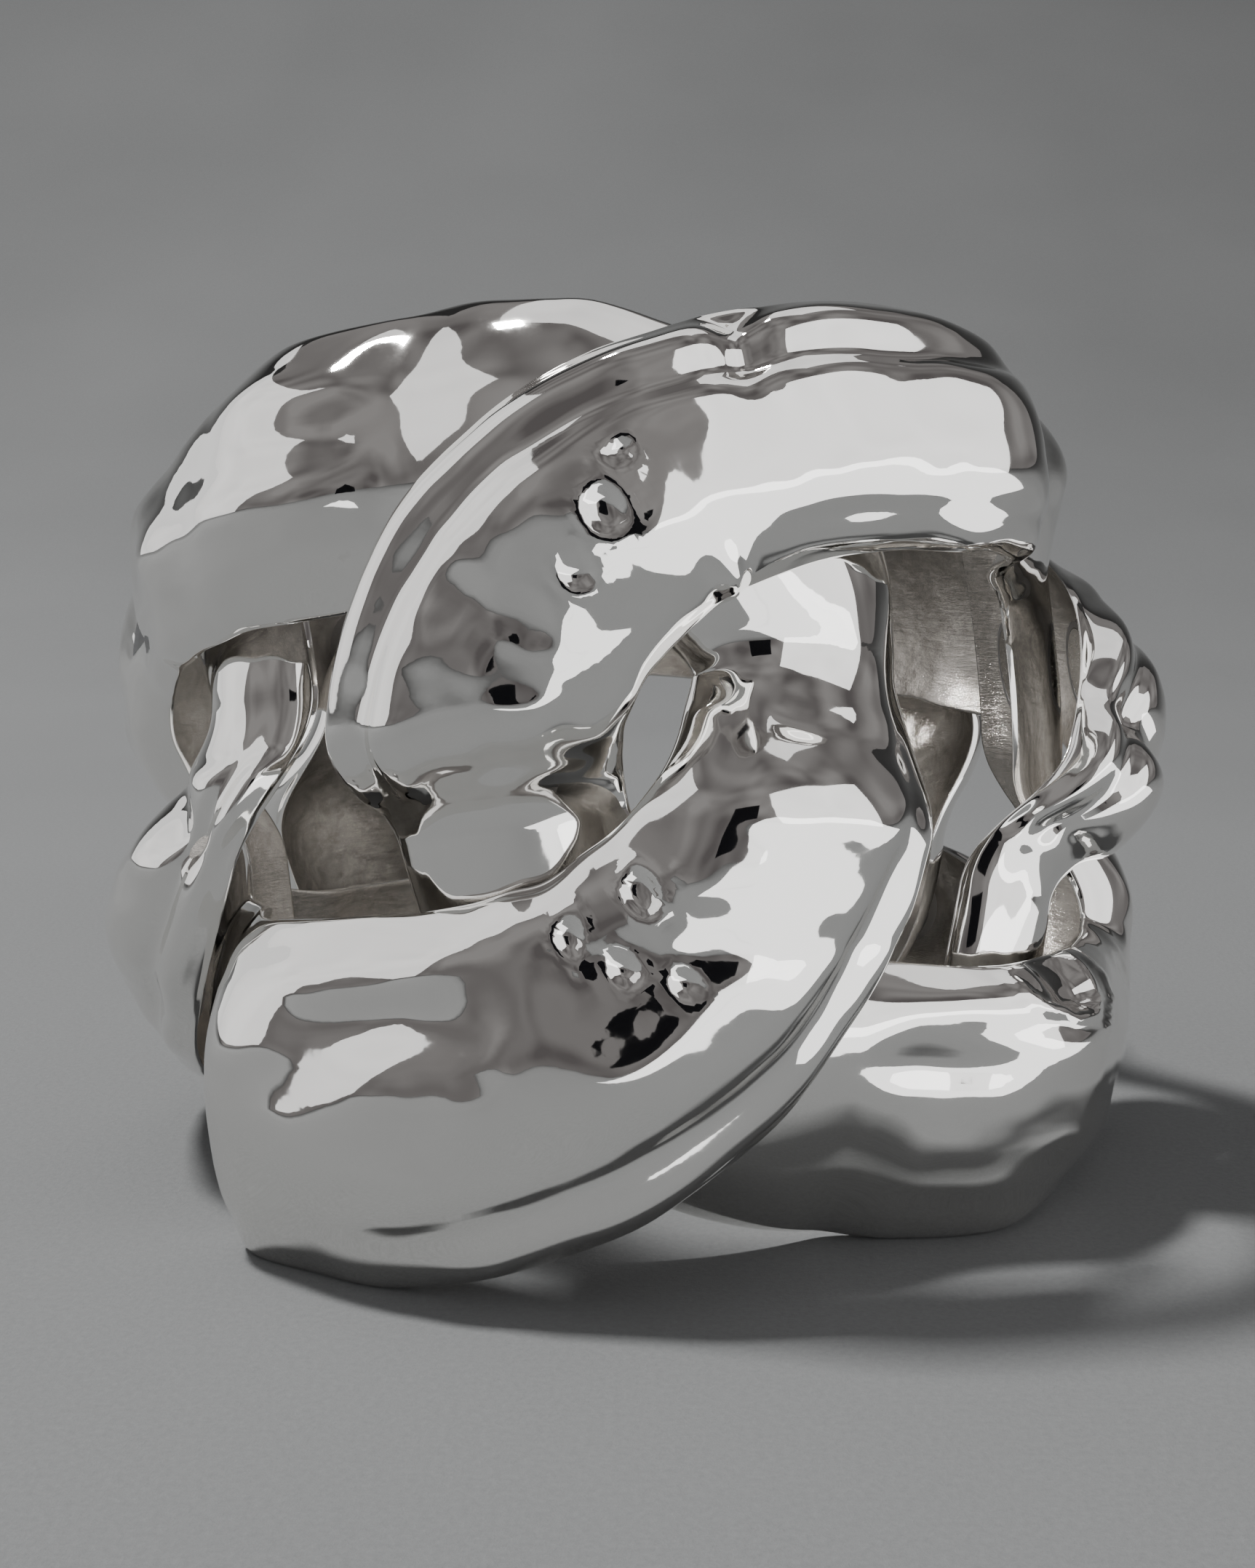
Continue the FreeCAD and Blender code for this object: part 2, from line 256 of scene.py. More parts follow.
class LinkSettings(bpy.types.PropertyGroup):
    """Sizes shared by the five castings."""

    band_radius: FloatProperty(
        name="Band radius", description="Crown radius between the layers", unit="LENGTH", default=34.6 * MM
    )
    arch_depth: FloatProperty(
        name="Arch depth", description="Depth of the hollow back", unit="LENGTH", default=3.0 * MM
    )
    skin_half: FloatProperty(
        name="Half skin", description="Half of the skin's thickness", unit="LENGTH", default=0.95 * MM
    )
    swell: FloatProperty(
        name="Swell", description="Height of the broad molten swells", unit="LENGTH", default=0.55 * MM
    )
    lumps: FloatProperty(
        name="Lumps", description="Height of the finger-sized lumps", unit="LENGTH", default=0.36 * MM
    )
    ripple: FloatProperty(
        name="Ripple", description="Height of the fine ripple", unit="LENGTH", default=0.05 * MM
    )
    ridges: FloatProperty(
        name="Flow ridges", description="Height of the ridges along arms", unit="LENGTH", default=0.28 * MM
    )
    bead: FloatProperty(
        name="Rolled edge", description="Height of the bead along the edges", unit="LENGTH", default=0.5 * MM
    )
    dimple_depth: FloatProperty(
        name="Dimple depth", description="Depth of the round dimples", unit="LENGTH", default=0.16 * MM
    )
    cast_grain: FloatProperty(
        name="Cast grain", description="Relief of the rough hollow back", unit="LENGTH", default=0.09 * MM
    )
    funnel_power: FloatProperty(
        name="Funnel roundness", description="How round the arch is beside the front hole", default=1.7
    )
    dimples: IntProperty(name="Dimples", description="Dimples on each link", default=26, min=0)
    steps_round_loop: IntProperty(
        name="Loop steps", description="Faces round a link's loop", default=480, min=24
    )
    steps_round_section: IntProperty(
        name="Section steps", description="Faces round a section", default=128, min=12
    )


# The link settings that are lengths, which the surface is worked out from in mm.
LENGTHS = [
    "band_radius", "arch_depth", "skin_half", "swell", "lumps", "ripple", "ridges", "bead", "dimple_depth",
    "cast_grain",
]


class FinishSettings(bpy.types.PropertyGroup):
    """Colours and polish of the metal."""

    silver: FloatVectorProperty(
        name="Silver", description="Colour of the polished metal", subtype="COLOR", default=(0.88, 0.87, 0.85)
    )
    # Colour of the hollow back, darker than the silver: painted shade for the dark surroundings it reflects.
    hollow_shade: FloatVectorProperty(
        name="Hollow_shade", description="Colour of the hollow back", subtype="COLOR", default=(0.6, 0.57, 0.53)
    )
    polish: FloatProperty(
        name="Polish", description="Roughness of the polish", subtype="FACTOR", default=0.03, min=0, max=1
    )
    nickel: FloatVectorProperty(
        name="Nickel", description="Colour of the magnets", subtype="COLOR", default=(0.68, 0.67, 0.64)
    )
    cup_steel: FloatVectorProperty(
        name="Cup steel", description="Colour of the keeper cups", subtype="COLOR", default=(0.42, 0.42, 0.43)
    )


class StageSettings(bpy.types.PropertyGroup):
    """Floor, light and camera."""

    paper: FloatVectorProperty(
        name="Paper", description="Colour of the paper floor", subtype="COLOR", default=(0.138, 0.142, 0.145)
    )
    key: FloatProperty(
        name="Key light", description="Power of the small key light", unit="POWER", default=24.0
    )
    right_softbox: FloatProperty(
        name="Right softbox", description="Brightness of the right softbox", default=1.45
    )
    left_softbox: FloatProperty(
        name="Left softbox", description="Brightness of the left softbox", default=0.95
    )
    top_softbox: FloatProperty(
        name="Top softbox", description="Brightness of the top softbox", default=0.9
    )
    low_card: FloatProperty(
        name="Low card", description="Brightness of the white card low at the front", default=1.75
    )
    room: FloatProperty(name="Room", description="Brightness of the dim room", default=0.2)
    camera_lens: FloatProperty(name="Lens", description="Focal length", unit="CAMERA", default=45.0)


# ---------------------------------------------------------------- shader building


class Value:
    """A shader socket that takes part in Python arithmetic by adding Math nodes."""

    def __init__(self, shading, socket):
        self.shading = shading
        self.socket = socket

    def math(self, operation, *others, swapped=False):
        operands = [self, *others]
        if swapped:
            operands.reverse()
        return self.shading.node("ShaderNodeMath", {"operation": operation}, dict(enumerate(operands)))

    def __add__(self, other):
        return self.math("ADD", other)

    __radd__ = __add__

    def __sub__(self, other):
        return self.math("SUBTRACT", other)

    def __rsub__(self, other):
        return self.math("SUBTRACT", other, swapped=True)

    def __mul__(self, other):
        return self.math("MULTIPLY", other)

    __rmul__ = __mul__

    def clamped(self):
        """The value kept between 0 and 1."""
        return self.shading.node("ShaderNodeClamp", {}, {"Value": self})


class Shading:
    """A node tree being built, and the shader in it that the nodes feed."""

    def __init__(self, owner, shader, constants):
        owner.use_nodes = True
        self.tree = owner.node_tree
        self.shader = self.tree.nodes[shader]
        for socket, value in constants.items():
            self.shader.inputs[socket].default_value = value

    def node(self, kind, settings, sockets, output=0):
        """Add a node: its settings first, then its sockets' values or links. Return one output as a Value."""
        node = self.tree.nodes.new(kind)
        for name, value in settings.items():
            if name == "stops":
                self.set_stops(node.color_ramp, value)
            else:
                setattr(node, name, value)
        for socket, value in sockets.items():
            if isinstance(value, Value):
                self.tree.links.new(value.socket, node.inputs[socket])
            else:
                node.inputs[socket].default_value = value
        return Value(self, node.outputs[output])

    @staticmethod
    def set_stops(ramp, stops):
        """Give a two-stop colour ramp its stops: position and colour."""
        for element, (position, colour) in zip(ramp.elements, stops):
            element.position = position
            element.color = colour

    def ramp(self, value, stops):
        """A value passed through a colour ramp."""
        return self.node("ShaderNodeValToRGB", {"stops": stops}, {"Fac": value})

    def feed(self, socket, value):
        """Link a value to the shader."""
        self.tree.links.new(value.socket, self.shader.inputs[socket])


class Finish(Shading):
    """A material being built: a Principled shader and the nodes that feed it."""

    def __init__(self, name, constants):
        self.material = bpy.data.materials.new(name)
        super().__init__(self.material, "Principled BSDF", constants)

    def places(self, stretch=(1.0, 1.0, 1.0)):
        """Object coordinates, stretched."""
        coordinates = self.node("ShaderNodeTexCoord", {}, {}, "Object")
        return self.node("ShaderNodeMapping", {}, {"Vector": coordinates, "Scale": stretch})

    def noise(self, per_metre, detail=3.0, roughness=0.5, distortion=0.0, stretch=(1.0, 1.0, 1.0)):
        """Noise with a number of cells to the metre."""
        sockets = {"Vector": self.places(stretch), "Scale": per_metre, "Detail": detail}
        sockets.update({"Roughness": roughness, "Distortion": distortion})
        return self.node("ShaderNodeTexNoise", {}, sockets, "Fac")

    def attribute(self, name):
        """A number stored on the mesh's points."""
        return self.node("ShaderNodeAttribute", {"attribute_name": name}, {}, "Fac")

    def mix(self, factor, first, second):
        """Two colours mixed by a factor."""
        sockets = {"Factor": factor, 6: first, 7: second}
        return self.node("ShaderNodeMix", {"data_type": "RGBA"}, sockets, 2)

    def bump(self, height, distance, strength=1.0, normal=None):
        """A Bump node, on top of another one if given."""
        sockets = {"Height": height, "Distance": distance, "Strength": strength}
        if normal is not None:
            sockets["Normal"] = normal
        return self.node("ShaderNodeBump", {}, sockets)


def rgba(colour, times=1.0):
    """A colour property as four numbers, brightened or darkened."""
    return tuple(part * times for part in colour) + (1.0,)


def silver_finish(settings):
    """Mirror-polished casting outside; scratched in the hollow back, which is darkened as painted shade and
    given a random grime tone.
    """
    finish = Finish("polished_silver", {"Metallic": 1.0, "Specular IOR Level": 0.5})
    hollow = finish.attribute("hollow")
    haze = finish.noise(210.0, detail=5.0, roughness=0.6)
    clouds = finish.noise(55.0, detail=2.0)
    specks = finish.noise(1900.0, detail=2.0, roughness=0.7)
    grime = finish.noise(420.0, detail=6.0, roughness=0.75, distortion=0.6)
    scratches = finish.noise(260.0, detail=6.0, roughness=0.8, stretch=(1.0, 1.0, 7.0))

    outside = finish.mix(clouds, rgba(settings.silver, 0.97), rgba(settings.silver, 1.03))
    # Painted shade: the hollow back's silver is darker, standing in for the dark surroundings it reflects;
    # grime varies it at random.
    inside = finish.mix(grime, rgba(settings.hollow_shade, 0.55), rgba(settings.hollow_shade, 1.5))
    finish.feed("Base Color", finish.mix(hollow, outside, inside))

    bloom = finish.ramp(haze, [(0.48, BLACK), (0.72, WHITE)])
    polished = settings.polish + bloom * 0.035 + (specks - 0.5).clamped() * 0.04
    cast = 0.1 + grime * 0.24
    finish.feed("Roughness", (hollow * cast + (1 - hollow) * polished).clamped())

    waves = finish.bump(finish.noise(170.0, detail=1.0), 0.00006)
    orange_peel = finish.bump(finish.noise(700.0, detail=2.0), 0.000004, normal=waves)
    grain = finish.bump(hollow * (scratches * 0.6 + grime * 0.4), 0.00022, normal=orange_peel)
    finish.feed("Normal", grain)
    return finish.material


def nickel_finish(settings):
    """Nickel-plated magnet: fine satin, with faint handling marks."""
    finish = Finish("nickel_plate", {"Metallic": 1.0})
    marks = finish.noise(900.0, detail=5.0, roughness=0.7, stretch=(1.0, 1.0, 3.0))
    finish.feed("Base Color", finish.mix(marks, rgba(settings.nickel, 0.85), rgba(settings.nickel, 1.1)))
    finish.feed("Roughness", (marks * 0.25 + 0.12).clamped())
    finish.feed("Normal", finish.bump(marks, 0.00002))
    return finish.material


def cup_finish(settings):
    """Drawn steel cup: brushed, darker in patches."""
    finish = Finish("drawn_steel", {"Metallic": 1.0})
    brushed = finish.noise(700.0, detail=6.0, roughness=0.8, stretch=(1.0, 1.0, 9.0))
    patches = finish.noise(300.0, detail=3.0)
    dark, light = rgba(settings.cup_steel, 0.7), rgba(settings.cup_steel, 1.15)
    finish.feed("Base Color", finish.mix(patches, dark, light))
    finish.feed("Roughness", (brushed * 0.3 + 0.25).clamped())
    finish.feed("Normal", finish.bump(brushed, 0.00003))
    return finish.material


def paper_finish(settings):
    """Matt paper with a fine fleck."""
    finish = Finish("grey_paper", {"Specular IOR Level": 0.25, "Roughness": 0.9})
    fibre = finish.noise(2200.0, detail=5.0, roughness=0.8)
    cloud = finish.noise(9.0, detail=2.0)
    tone = (fibre * 0.7 + cloud * 0.3).clamped()
    finish.feed("Base Color", finish.mix(tone, rgba(settings.paper, 0.6), rgba(settings.paper, 1.34)))
    finish.feed("Normal", finish.bump(fibre, 0.0001))
    return finish.material


# ---------------------------------------------------------------- molten surface


class GradientNoise:
    """Smooth noise in space, the same for the same seed. Values are about -0.7 to 0.7."""

    def __init__(self, seed):
        generator = np.random.default_rng(seed)
        self.order = generator.permutation(256)
        directions = generator.normal(size=(256, 3))
        self.directions = directions / np.linalg.norm(directions, axis=1, keepdims=True)

    def __call__(self, places, wavelength):
        places = places / wavelength
        cell = np.floor(places).astype(int)
        local = places - cell
        fade = local**3 * (local * (local * 6 - 15) + 10)
        total = np.zeros(places.shape[:-1])
        for corner in product((0, 1), repeat=3):
            corner = np.array(corner)
            key = self.order[(cell[..., 0] + corner[0]) % 256]
            key = self.order[(key + cell[..., 1] + corner[1]) % 256]
            key = self.order[(key + cell[..., 2] + corner[2]) % 256]
            weight = np.prod(np.where(corner, fade, 1 - fade), axis=-1)
            total += weight * np.sum(self.directions[key] * (local - corner), axis=-1)
        return total


def smooth_step(value, start, end):
    """0 before start, 1 after end, smooth between."""
    share = np.clip((value - start) / (end - start), 0, 1)
    return share * share * (3 - 2 * share)


def signed_power(value, power):
    """The size of value raised to a power, with value's sign."""
    return np.sign(value) * np.abs(value) ** power


def ramp(value):
    """From -1 to 1 as value goes from -1 to 1."""
    return np.sin(math.pi / 2 * np.clip(value, -1, 1))


class MoltenLink:
    """The surface of one link as a grid of points: round the loop, and round the crescent section."""

    def __init__(self, name, settings):
        self.name = name
        self.loop = LOOPS[name]
        self.settings = settings
        self.mm = SimpleNamespace(**{length: getattr(settings, length) / MM for length in LENGTHS})
        self.mm_per_deg = math.radians(self.mm.band_radius + LAYER_STEP)
        self.seed = LINKS.index(name) * 10
        turns = settings.steps_round_loop
        steps = settings.steps_round_section
        self.turn = np.linspace(0, 2 * math.pi, turns, endpoint=False)[:, None]
        self.round = np.linspace(0, 2 * math.pi, steps, endpoint=False)[None, :]

    def centreline(self, turn):
        """Angle in degrees and height in mm of the loop's centreline."""
        corner = self.loop.square + self.loop.square_swing * np.cos(turn - math.radians(self.loop.square_at))
        across = (np.cos(turn) - corner * np.cos(3 * turn)) / (1 - corner)
        up = self.loop.half_height * (np.sin(turn) + corner * np.sin(3 * turn)) / (1 - corner)
        lean = self.loop.lean + self.loop.lean_swing * np.cos(turn)
        angle = self.loop.centre + self.loop.half_length * across + lean * up
        return angle, self.loop.middle + up + self.loop.end_rise * np.cos(turn)

    def half_width(self, turn):
        """Half of the arm's width in mm, a little uneven round the loop."""
        end = np.where(np.cos(turn) > 0, self.loop.wide_right, self.loop.wide_left)
        arm = np.where(np.sin(turn) > 0, self.loop.wide_top, self.loop.wide_bottom)
        wobble = 1 + 0.05 * GradientNoise(self.seed + 1)(self.loop_places(turn), 6.0)
        return (end * np.cos(turn) ** 2 + arm * np.sin(turn) ** 2) * wobble

    def loop_places(self, turn, across=0.0):
        """Places on a closed path, so that noise read there joins up round the loop."""
        around = self.loop.half_length * self.mm_per_deg
        up = self.loop.half_height * np.sin(turn)
        return np.stack(np.broadcast_arrays(around * np.cos(turn), up, across), -1)

    def layers(self, angle, height):
        """The layer at a place, from -1 inside to 1 outside, and the crown radius that it gives."""
        front = (1 + np.cos(np.radians(angle))) / 2
        middle = MIDDLE_REAR + MIDDLE_RISE * front**MIDDLE_RISE_POWER
        above = height - middle
        for at_angle, down in CROSSING_SHIFTS:
            above = above + down * np.exp(-(((angle - at_angle) / SHIFT_SPREAD_DEG) ** 2))
        down, turn_height = DIVES.get(self.name, (0.0, LAYER_TURN_HEIGHT))
        left_end = smooth_step(self.loop.centre - angle, 20.0, 35.0)
        above = above + down * left_end
        turn_height = LAYER_TURN_HEIGHT + (turn_height - LAYER_TURN_HEIGHT) * left_end
        from_end = np.minimum(np.abs(above) / turn_height, 1)
        shift = np.where(above > 0, self.loop.turn_upper, self.loop.turn_lower)
        right = ramp((angle - self.loop.centre - shift * from_end) / self.loop.turn_deg)
        layer = -right * ramp(above / turn_height)
        come_out = 1 - smooth_step(above, self.loop.shoulder, self.loop.shoulder + SHOULDER_HEIGHT)
        layer = np.where(layer < 0, layer * come_out, layer)
        lean_in = np.where(height > middle, LEAN_IN_TOP, LEAN_IN_BOTTOM)
        edge = np.abs(height - middle) / (middle - 2 * self.mm.skin_half)
        return layer, self.mm.band_radius - lean_in * edge**LEAN_IN_POWER + LAYER_STEP * layer

    def base(self):
        """The smooth casting's points, and what the detail needs to know about them."""
        small = 1e-4
        angle, height = self.centreline(self.turn)
        before, after = self.centreline(self.turn - small), self.centreline(self.turn + small)
        along = (after[0] - before[0]) * self.mm_per_deg
        rise = after[1] - before[1]
        length = np.hypot(along, rise)
        self.offset = signed_power(np.cos(self.round), EDGE_POWER)
        self.sideways = self.offset * self.half_width(self.turn)
        angle = angle + self.sideways * rise / length / self.mm_per_deg
        height = height - self.sideways * along / length
        self.step, crown = self.layers(angle, height)
        self.angle = angle
        from_hole = np.hypot(angle * self.mm_per_deg, height - FUNNEL_HEIGHT) / FUNNEL_REACH
        funnel = np.exp(-(from_hole**2)) * (self.offset < 0)
        flatness = FLATNESS[self.name]
        power = flatness + (self.settings.funnel_power - flatness) * funnel
        arch = self.mm.arch_depth * np.abs(self.offset) ** power
        slope, still = TIPPED.get(self.name, (0.0, 0.0))
        crown = crown + slope * smooth_step(self.step, 0.1, 0.9) * np.maximum(still - height, 0) ** 0.9
        skin = self.mm.skin_half * (1 - signed_power(np.sin(self.round), SKIN_POWER))
        radius = crown - arch - skin
        turned = np.radians(angle)
        return np.stack([radius * np.sin(turned), RING_SHIFT_Y - radius * np.cos(turned), height], -1)

    def covered(self):
        """1 where a neighbour lies over this link's crown, 0 in the open."""
        away = np.abs((self.angle + LINK_PITCH / 2) % LINK_PITCH - LINK_PITCH / 2)
        near = 1 - smooth_step(away, COVERED_DEG, UNCOVERED_DEG)
        return near * smooth_step(-self.step, 0.0, 0.6)

    def dimples(self):
        """Round dimples with a faint raised rim, at seeded places on the outer face."""
        generator = np.random.default_rng(self.seed + 7)
        height = np.zeros(np.broadcast_shapes(self.turn.shape, self.sideways.shape))
        half_long = self.loop.half_length * self.mm_per_deg
        loop_length = 2 * math.pi * math.hypot(half_long, self.loop.half_height) / math.sqrt(2)
        for _ in range(self.settings.dimples):
            turn = generator.uniform(0, 2 * math.pi)
            offset = generator.uniform(-0.6, 0.6)
            radius = generator.uniform(0.7, 1.9)
            stretch = generator.uniform(1.0, 1.9)
            depth = generator.uniform(0.4, 1.0) * radius / 1.9
            turned = (self.turn - turn + math.pi) % (2 * math.pi) - math.pi
            along = turned * loop_length / (2 * math.pi) / stretch
            across = self.sideways - offset * self.half_width(np.full_like(self.turn, turn))
            away = np.hypot(along, across) / radius
            height += depth * (0.35 * np.exp(-(((away - 1.25) / 0.35) ** 2)) - np.exp(-(away**2)))
        return height

    def away_from(self, turn_deg, offset):
        """Distances in mm along the arm and across it from a place given by turn and offset."""
        turn = math.radians(turn_deg)
        turned = (self.turn - turn + math.pi) % (2 * math.pi) - math.pi
        flat_along = self.loop.half_length * self.mm_per_deg * math.sin(turn)
        speed = math.hypot(flat_along, self.loop.half_height * math.cos(turn))
        across = self.sideways - offset * self.half_width(np.full_like(self.turn, turn))
        return turned * speed, across

    def shaped(self):
        """The listed bumps, hollows and pits."""
        height = np.zeros(self.sideways.shape)
        uneven = GradientNoise(self.seed + 10)(self.loop_places(self.turn, self.sideways), PIT_PITCH)
        for turn, offset, along_size, across_size, rise in SHAPED.get(self.name, []):
            along, across = self.away_from(turn, offset)
            height += rise * np.exp(-((along / along_size) ** 2) - (across / across_size) ** 2)
        for turn, offset, radius, depth in PITS.get(self.name, []):
            away = np.hypot(*self.away_from(turn, offset)) / radius * (1 + 0.9 * uneven)
            height += depth * (0.5 * np.exp(-(((away - 1.1) / 0.28) ** 2)) - np.exp(-(away**4)))
        return height

    def rims(self):
        """The bead and groove along the edges, in seeded stretches and where an edge is rolled over."""
        rolled_at, rolled_half = ROLLED.get(self.name, (0.0, 0.0))
        from_rolled = np.abs((np.degrees(self.turn) - rolled_at + 180) % 360 - 180)
        rolled = (1 - smooth_step(from_rolled, rolled_half, rolled_half + 15)) * (self.offset > 0)
        share = smooth_step(GradientNoise(self.seed + 6)(self.loop_places(self.turn), BEAD_PITCH), -0.1, 0.4)
        share = np.maximum(0.7 * share, 1.5 * rolled)
        edge = np.abs(self.offset)
        bead = np.exp(-(((edge - BEAD_AT) / BEAD_WIDTH) ** 2))
        groove = np.exp(-(((edge - GROOVE_AT) / BEAD_WIDTH) ** 2))
        return (bead - GROOVE_DEPTH * groove) * share

    def detail(self, places):
        """Height of the molten surface above the smooth casting, in mm."""
        mm = self.mm
        outer = np.clip(np.sin(self.round), 0, 1) ** 0.5
        inner = np.clip(-np.sin(self.round), 0, 1) ** 0.5
        open_air = 1 - 0.85 * self.covered()
        swell = GradientNoise(self.seed + 2)(places, SWELL_PITCH) * NOISE_GAIN
        lumps = GradientNoise(self.seed + 3)(places, LUMP_PITCH) * NOISE_GAIN
        ripple = GradientNoise(self.seed + 4)(places, RIPPLE_PITCH) * NOISE_GAIN
        flow = self.loop_places(self.turn, self.sideways * 3.2)
        ridge = 1 - 3.2 * np.abs(GradientNoise(self.seed + 5)(flow, RIDGE_PITCH))
        height = mm.swell * swell + mm.lumps * lumps + mm.ripple * ripple
        height = height + mm.ridges * ridge * smooth_step(swell, -0.2, 0.5) + mm.bead * self.rims()
        height = height + mm.dimple_depth * self.dimples() + self.shaped()
        coarse = GradientNoise(self.seed + 8)(places, COARSE_GRAIN_PITCH)
        fine = GradientNoise(self.seed + 9)(places, FINE_GRAIN_PITCH)
        return outer * open_air * height + inner * mm.cast_grain * (coarse + 0.5 * fine + 0.8 * lumps)

    def points(self):
        """The finished surface in mm, moved along the smooth casting's normals."""
        places = self.base()
        along = np.roll(places, -1, 0) - np.roll(places, 1, 0)
        across = np.roll(places, -1, 1) - np.roll(places, 1, 1)
        normal = np.cross(along, across)
        normal /= np.linalg.norm(normal, axis=-1, keepdims=True)
        crown = self.settings.steps_round_section // 4
        outwards = places[:, crown] - np.array([0, RING_SHIFT_Y, 0])
        if np.sum(normal[:, crown, :2] * outwards[:, :2]) < 0:
            normal = -normal
        finished = places + normal * self.detail(places)[..., None]
        finished[..., 2] = np.maximum(finished[..., 2], 0.0)
        return finished


def make_link(name, settings, material):
    """Build one casting as a mesh object."""
    link = MoltenLink(name, settings)
    grid = link.points()
    turns, steps = grid.shape[:2]
    index = np.arange(turns * steps).reshape(turns, steps)
    next_turn = np.roll(index, -1, 0)
    faces = np.stack([index, np.roll(index, -1, 1), np.roll(next_turn, -1, 1), next_turn], -1).reshape(-1, 4)
    mesh = bpy.data.meshes.new(f"{name}_casting")
    mesh.from_pydata((grid * MM).reshape(-1, 3).tolist(), [], faces[:, ::-1].tolist())
    mesh.shade_smooth()
    hollow = np.broadcast_to(smooth_step(-np.sin(link.round), 0.02, 0.3), (turns, steps))
    stored = mesh.attributes.new("hollow", "FLOAT", "POINT")
    stored.data.foreach_set("value", hollow.astype(np.float32).ravel())
    mesh.materials.append(material)
    casting = bpy.data.objects.new(f"{name}_casting", mesh)
    bpy.context.scene.collection.objects.link(casting)
    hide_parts(f"{name}_link")
    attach(casting, name)
    return casting


# ---------------------------------------------------------------- stage


def add_light(name, place, aim, size, power, colour=(1.0, 1.0, 1.0)):
    """A rectangular soft light facing a point."""
    light = bpy.data.lights.new(name, "AREA")
    light.shape = "RECTANGLE"
    light.size, light.size_y = size
    light.energy = power
    light.color = colour
    lamp = bpy.data.objects.new(name, light)
    lamp.location = place
    lamp.rotation_euler = (Vector(aim) - Vector(place)).to_track_quat("-Z", "Y").to_euler()
    lamp.visible_camera = False
    bpy.context.scene.collection.objects.link(lamp)
    return lamp


def add_softbox(name, place, aim, size, brightness):
    """A soft light given by how bright its face looks."""
    return add_light(name, place, aim, size, brightness * math.pi * size[0] * size[1])


def add_paper(settings):
    """A sheet of paper that lies under the band and sweeps up behind it."""
    width, front, back, bend, top = 1.8, -1.0, 0.25, 0.8, 1.4
    profile = [(front, 0.0), (back * 0.5, 0.0)]
    bend_steps = 24
    for step in range(bend_steps + 1):
        angle = math.pi / 2 * step / bend_steps
        profile.append((back + bend * math.sin(angle), bend * (1 - math.cos(angle))))
    profile.append((back + bend, top))
    points = [(side * width, y, z) for y, z in profile for side in (-1, 1)]
    faces = [(2 * row, 2 * row + 1, 2 * row + 3, 2 * row + 2) for row in range(len(profile) - 1)]
    mesh = bpy.data.meshes.new("paper")
    mesh.from_pydata(points, [], faces)
    mesh.shade_smooth()
    mesh.materials.append(paper_finish(settings))
    paper = bpy.data.objects.new("paper", mesh)
    bpy.context.scene.collection.objects.link(paper)


def add_board(place, size):
    """A small black board upright behind the lens, seen only as dark flecks in the polish."""
    x, y, z = place
    half = size / 2
    sides = [(-half, -half), (half, -half), (half, half), (-half, half)]
    corners = [(x + across, y, z + up) for across, up in sides]
    mesh = bpy.data.meshes.new("black_board")
    mesh.from_pydata(corners, [], [(0, 1, 2, 3)])
    finish = Finish("black_board", {"Roughness": 1.0, "Specular IOR Level": 0.0})
    felt = finish.noise(900.0, detail=3.0)
    finish.feed("Base Color", finish.mix(felt, (0.004, 0.004, 0.005, 1.0), (0.012, 0.012, 0.014, 1.0)))
    mesh.materials.append(finish.material)
    board = bpy.data.objects.new("black_board", mesh)
    board.visible_camera = False
    bpy.context.scene.collection.objects.link(board)


def add_room(settings):
    """Dim, slightly cloudy surroundings."""
    world = bpy.data.worlds.new("studio")
    room = Shading(world, "Background", {"Strength": settings.room})
    directions = room.node("ShaderNodeTexCoord", {}, {}, "Generated")
    clouds = room.node("ShaderNodeTexNoise", {}, {"Vector": directions, "Scale": 2.6, "Detail": 1.0}, "Fac")
    room.feed("Color", room.ramp(clouds, [(0.3, (0.5, 0.46, 0.46, 1.0)), (0.7, (1.35, 1.3, 1.28, 1.0))]))
    bpy.context.scene.world = world


def add_camera(settings):
    """The camera: about two band widths away, a little above the band, tilted down."""
    low, high = CAD_BOX
    radius = (high[0] - low[0]) / 2
    camera = bpy.data.cameras.new("camera")
    camera.lens = settings.camera_lens
    camera.sensor_width = 36.0
    camera.clip_start = 0.005
    viewer = bpy.data.objects.new("camera", camera)
    front = RING_SHIFT_Y * MM - CAMERA_FRONT * radius
    viewer.location = (CAMERA_RIGHT * radius, front, CAMERA_UP * radius)
    viewer.rotation_euler = (math.radians(90 - CAMERA_DOWN_DEG), 0, 0)
    bpy.context.scene.collection.objects.link(viewer)
    bpy.context.scene.camera = viewer


# ---------------------------------------------------------------- operators


class BAND_OT_castings(bpy.types.Operator):
    """Build the five molten link castings"""

    bl_idname = "band.castings"
    bl_label = "Link castings"

    def execute(self, context):
        silver = silver_finish(context.scene.band_finish)
        for name in LINKS:
            make_link(name, context.scene.band_links, silver)
        return {"FINISHED"}


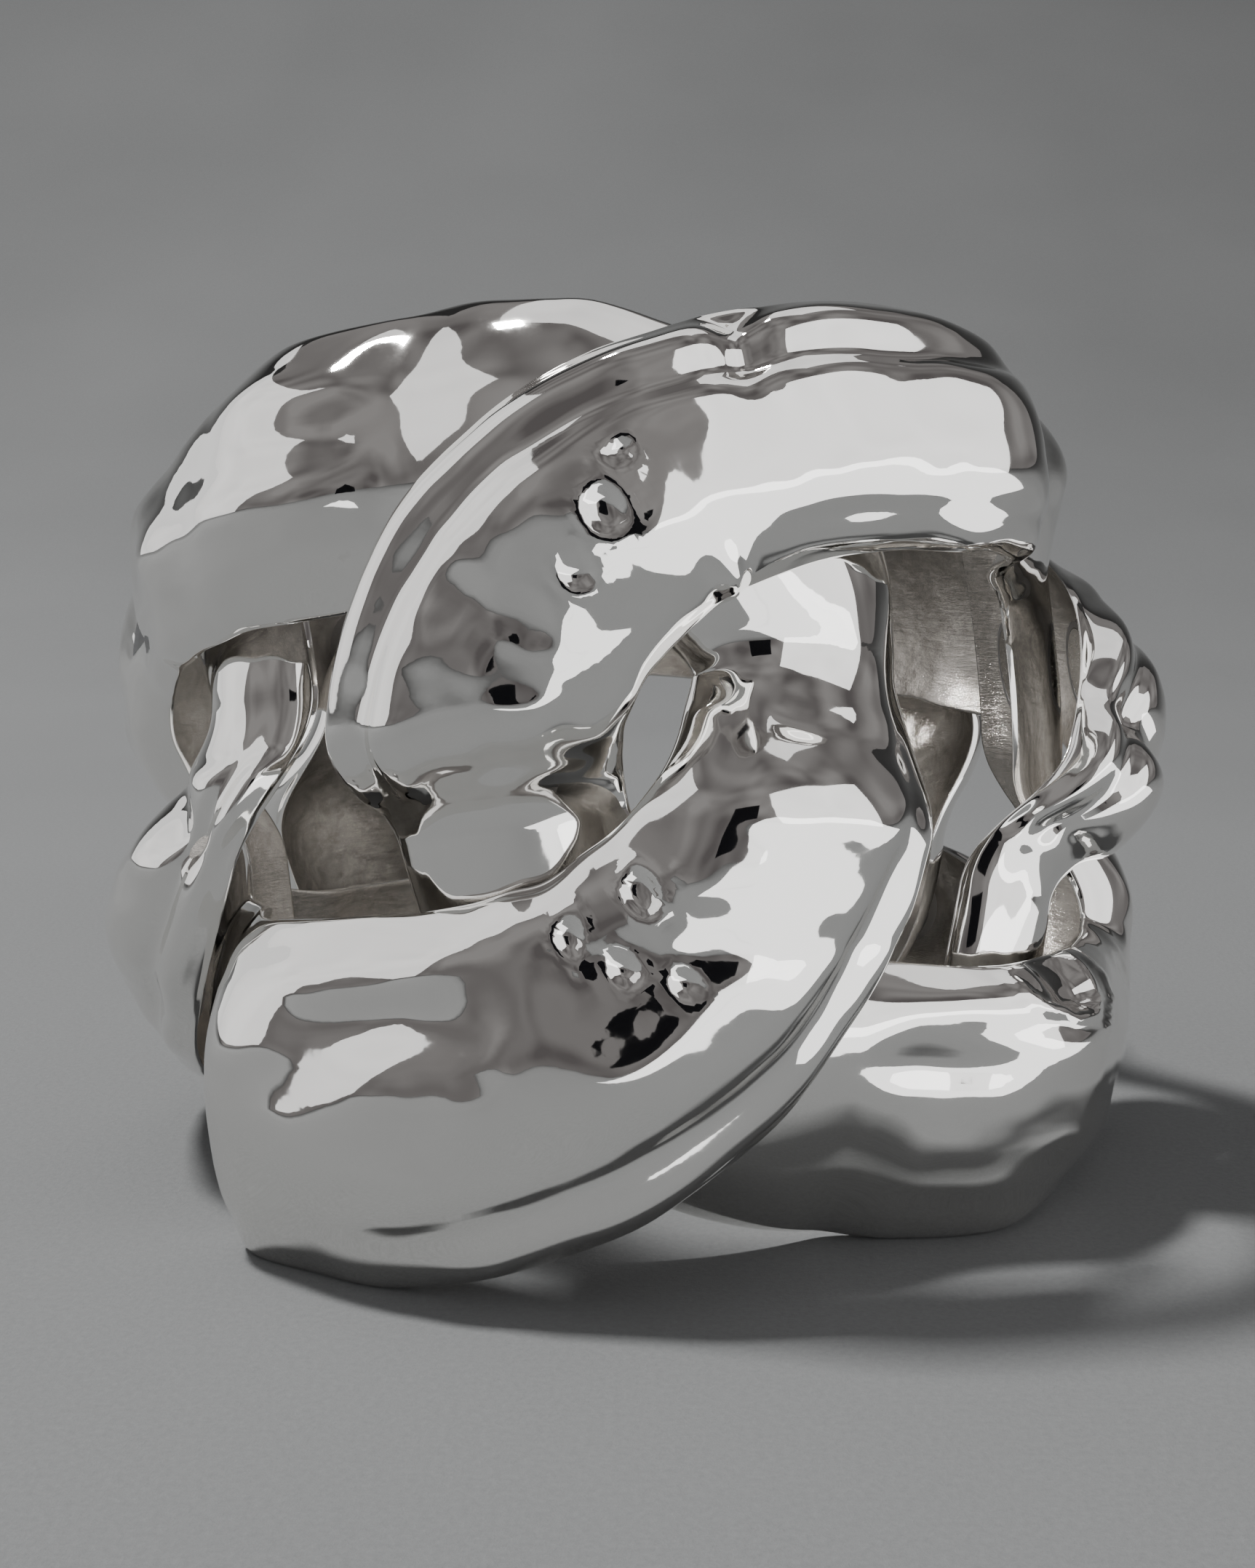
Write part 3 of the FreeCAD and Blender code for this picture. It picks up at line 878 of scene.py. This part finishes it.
class BAND_OT_magnets(bpy.types.Operator):
    """Finish the magnets and their keeper cups in the hollow backs"""

    bl_idname = "band.magnets"
    bl_label = "Magnets and cups"

    def execute(self, context):
        finishes = {
            "magnet": nickel_finish(context.scene.band_finish),
            "cup": cup_finish(context.scene.band_finish),
        }
        for link, place, kind in product(LINKS, PLACES, finishes):
            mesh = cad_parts[f"{link}_{place}_{kind}"].data
            mesh.materials.clear()
            mesh.materials.append(finishes[kind])
        return {"FINISHED"}


class BAND_OT_stage(bpy.types.Operator):
    """Set the paper floor, the soft lights and the camera"""

    bl_idname = "band.stage"
    bl_label = "Stage"

    def execute(self, context):
        settings = context.scene.band_stage
        add_paper(settings)
        add_room(settings)
        add_light("key", KEY_PLACE, LIGHT_AIM, KEY_SIZE, settings.key, KEY_COLOUR)
        for name, (place, aim, size) in SOFTBOXES.items():
            add_softbox(name, place, aim, size, getattr(settings, name))
        add_board(BOARD_PLACE, BOARD_SIZE)
        add_camera(settings)
        return {"FINISHED"}


class BAND_PT_panel(bpy.types.Panel):
    """Sidebar panel that lists the pieces' operators"""

    bl_label = "Molten Band"
    bl_idname = "BAND_PT_panel"
    bl_space_type = "VIEW_3D"
    bl_region_type = "UI"
    bl_category = "Molten Band"

    def draw(self, context):
        for group in (context.scene.band_links, context.scene.band_finish, context.scene.band_stage):
            column = self.layout.column(align=True)
            for name in group.__annotations__:
                column.prop(group, name)
        for operator in (BAND_OT_castings, BAND_OT_magnets, BAND_OT_stage):
            self.layout.operator(operator.bl_idname)


CLASSES = (
    LinkSettings,
    FinishSettings,
    StageSettings,
    BAND_OT_castings,
    BAND_OT_magnets,
    BAND_OT_stage,
    BAND_PT_panel,
)


def register():
    for item in CLASSES:
        bpy.utils.register_class(item)
    bpy.types.Scene.band_links = PointerProperty(type=LinkSettings)
    bpy.types.Scene.band_finish = PointerProperty(type=FinishSettings)
    bpy.types.Scene.band_stage = PointerProperty(type=StageSettings)


def unregister():
    del bpy.types.Scene.band_stage
    del bpy.types.Scene.band_finish
    del bpy.types.Scene.band_links
    for item in reversed(CLASSES):
        bpy.utils.unregister_class(item)


def main():
    register()
    bpy.ops.band.castings()
    bpy.ops.band.magnets()
    bpy.ops.band.stage()


if __name__ == "__main__":
    main()
